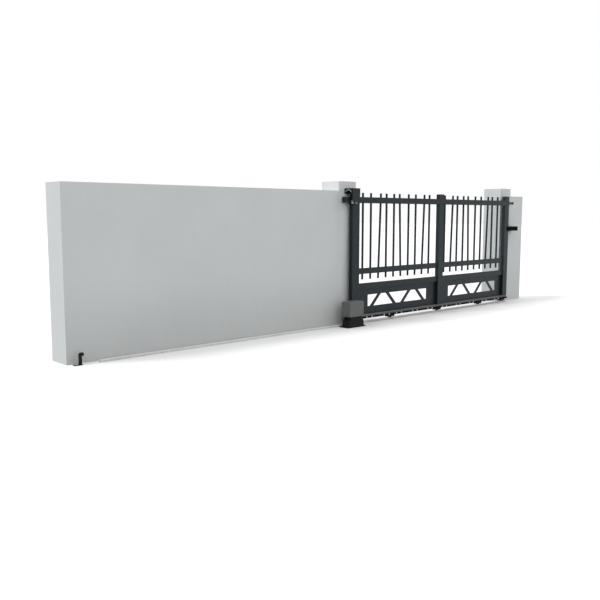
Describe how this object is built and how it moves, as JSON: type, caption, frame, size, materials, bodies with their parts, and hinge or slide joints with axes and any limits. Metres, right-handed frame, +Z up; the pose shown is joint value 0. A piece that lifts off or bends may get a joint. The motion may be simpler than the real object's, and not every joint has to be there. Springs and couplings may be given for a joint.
{
  "type": "sliding driveway gate",
  "caption": "Barred sliding driveway gate with kick panels, on a ground track, driven by a rack and pinion unit, with its rendered pillars and the wall it slides along.",
  "frame": {"origin": "on the left pillar's base, midway through its depth, at ground level", "axes": "+X along the wall towards the closing side, +Y from the driveway side to the far side, +Z up"},
  "size_m": [8.22, 0.601, 1.855],
  "materials": {
    "render": "smooth white rendered masonry",
    "anthracite": "satin anthracite powder coat",
    "galvanised": "dull galvanised steel",
    "black_steel": "black coated steel",
    "black_nylon": "black moulded nylon",
    "white_nylon": "off-white turned nylon",
    "cover_grey": "mid grey moulded cover",
    "base_grey": "dark grey moulded base",
    "steel": "machined steel",
    "rubber": "black rubber"
  },
  "bodies": {
    "posts": {"left_wall": "render", "left_pillar": "render", "right_pillar": "render", "right_wall": "render", "ground_track": "galvanised", "drive_base_plate": "black_steel", "drive_base": "base_grey", "drive_cover": "cover_grey", "guide_bracket": "anthracite", "guide_pins": "steel", "keeper": "black_steel", "keeper_buffer": "rubber", "end_stop": "black_steel", "stop_buffer": "rubber"},
    "leaf": {"left_stile": "anthracite", "middle_stile": "anthracite", "right_stile": "anthracite", "stile_heads": "anthracite", "top_rail": "anthracite", "middle_rails": "anthracite", "panel_rails": "anthracite", "bottom_rail": "galvanised", "left_bars": "anthracite", "right_bars": "anthracite", "left_kick_panel": "anthracite", "right_kick_panel": "anthracite", "left_panel_slats": "anthracite", "right_panel_slats": "anthracite", "wheel_carriages": "black_steel", "latch_bar": "steel", "top_tongue": "anthracite", "rack_1": "black_nylon", "rack_2": "black_nylon", "rack_3": "black_nylon", "rack_4": "black_nylon"},
    "wheel_1": {"wheel_1": "steel"},
    "wheel_2": {"wheel_2": "steel"},
    "wheel_3": {"wheel_3": "steel"},
    "wheel_4": {"wheel_4": "steel"},
    "wheel_5": {"wheel_5": "steel"},
    "pinion": {"drive_pinion": "steel"},
    "guide_roller_1": {"guide_roller_1": "white_nylon"},
    "guide_roller_2": {"guide_roller_2": "white_nylon"},
    "guide_roller_3": {"guide_roller_3": "white_nylon"},
    "guide_roller_4": {"guide_roller_4": "white_nylon"}
  },
  "joints": [
    {"name": "gate_slide", "type": "slide", "parent": "posts", "child": "leaf", "axis": [-1, 0, 0], "range_m": [0, 3.6]},
    {"name": "wheel_1_spin", "type": "hinge", "parent": "leaf", "child": "wheel_1", "pos_m": [0.117, -0.227, 0.05957], "axis": [0, -1, 0], "continuous": true},
    {"name": "wheel_2_spin", "type": "hinge", "parent": "leaf", "child": "wheel_2", "pos_m": [0.8, -0.227, 0.05957], "axis": [0, -1, 0], "continuous": true},
    {"name": "wheel_3_spin", "type": "hinge", "parent": "leaf", "child": "wheel_3", "pos_m": [1.8775, -0.227, 0.05957], "axis": [0, -1, 0], "continuous": true},
    {"name": "wheel_4_spin", "type": "hinge", "parent": "leaf", "child": "wheel_4", "pos_m": [2.955, -0.227, 0.05957], "axis": [0, -1, 0], "continuous": true},
    {"name": "wheel_5_spin", "type": "hinge", "parent": "leaf", "child": "wheel_5", "pos_m": [3.638, -0.227, 0.05957], "axis": [0, -1, 0], "continuous": true},
    {"name": "pinion_spin", "type": "hinge", "parent": "posts", "child": "pinion", "pos_m": [-0.091, -0.267, 0.0424], "axis": [0, -1, 0], "continuous": true},
    {"name": "guide_roller_1_spin", "type": "hinge", "parent": "posts", "child": "guide_roller_1", "pos_m": [-0.025, -0.2753, 1.608], "axis": [0, 0, 1], "continuous": true},
    {"name": "guide_roller_2_spin", "type": "hinge", "parent": "posts", "child": "guide_roller_2", "pos_m": [0.041, -0.2753, 1.608], "axis": [0, 0, 1], "continuous": true},
    {"name": "guide_roller_3_spin", "type": "hinge", "parent": "posts", "child": "guide_roller_3", "pos_m": [-0.025, -0.1787, 1.608], "axis": [0, 0, -1], "continuous": true},
    {"name": "guide_roller_4_spin", "type": "hinge", "parent": "posts", "child": "guide_roller_4", "pos_m": [0.041, -0.1787, 1.608], "axis": [0, 0, -1], "continuous": true}
  ],
  "couplings": [
    {"joint": "wheel_1_spin", "follows": "gate_slide", "rad_per_m": 26.121},
    {"joint": "wheel_2_spin", "follows": "gate_slide", "rad_per_m": 26.121},
    {"joint": "wheel_3_spin", "follows": "gate_slide", "rad_per_m": 26.121},
    {"joint": "wheel_4_spin", "follows": "gate_slide", "rad_per_m": 26.121},
    {"joint": "wheel_5_spin", "follows": "gate_slide", "rad_per_m": 26.121},
    {"joint": "pinion_spin", "follows": "gate_slide", "rad_per_m": 41.667},
    {"joint": "guide_roller_1_spin", "follows": "gate_slide", "rad_per_m": 61.35},
    {"joint": "guide_roller_2_spin", "follows": "gate_slide", "rad_per_m": 61.35},
    {"joint": "guide_roller_3_spin", "follows": "gate_slide", "rad_per_m": 61.35},
    {"joint": "guide_roller_4_spin", "follows": "gate_slide", "rad_per_m": 61.35}
  ]
}
